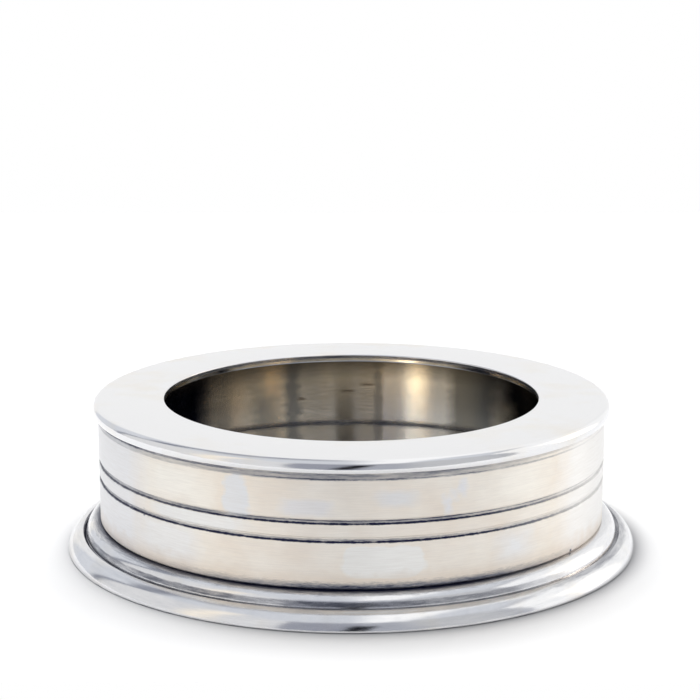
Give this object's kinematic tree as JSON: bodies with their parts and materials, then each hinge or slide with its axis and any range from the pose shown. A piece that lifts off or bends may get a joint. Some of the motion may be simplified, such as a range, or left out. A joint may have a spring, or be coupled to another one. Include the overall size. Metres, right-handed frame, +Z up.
{
  "type": "wine bottle coaster",
  "caption": "Round pewter coaster with a flat beaded rim, a grooved side band, a moulded foot and a raised floor that holds a wine bottle.",
  "frame": {"origin": "centre of the underside, in the plane of the table that the foot stands on", "axes": "+Z up along the axis of revolution; the piece is turned, so +X and +Y are any two square directions across it"},
  "size_m": [0.14, 0.14, 0.0363],
  "materials": {
    "polished_pewter": "polished pewter with dark patina in the seams",
    "satin_pewter": "satin brushed pewter with warm and bluish patina",
    "floor_pewter": "burnished pewter, darkened inside the well"
  },
  "bodies": {
    "root": {"rim_plate": "polished_pewter", "side_band": "satin_pewter", "foot_ring": "polished_pewter", "floor_pan": "floor_pewter"}
  },
  "joints": []
}
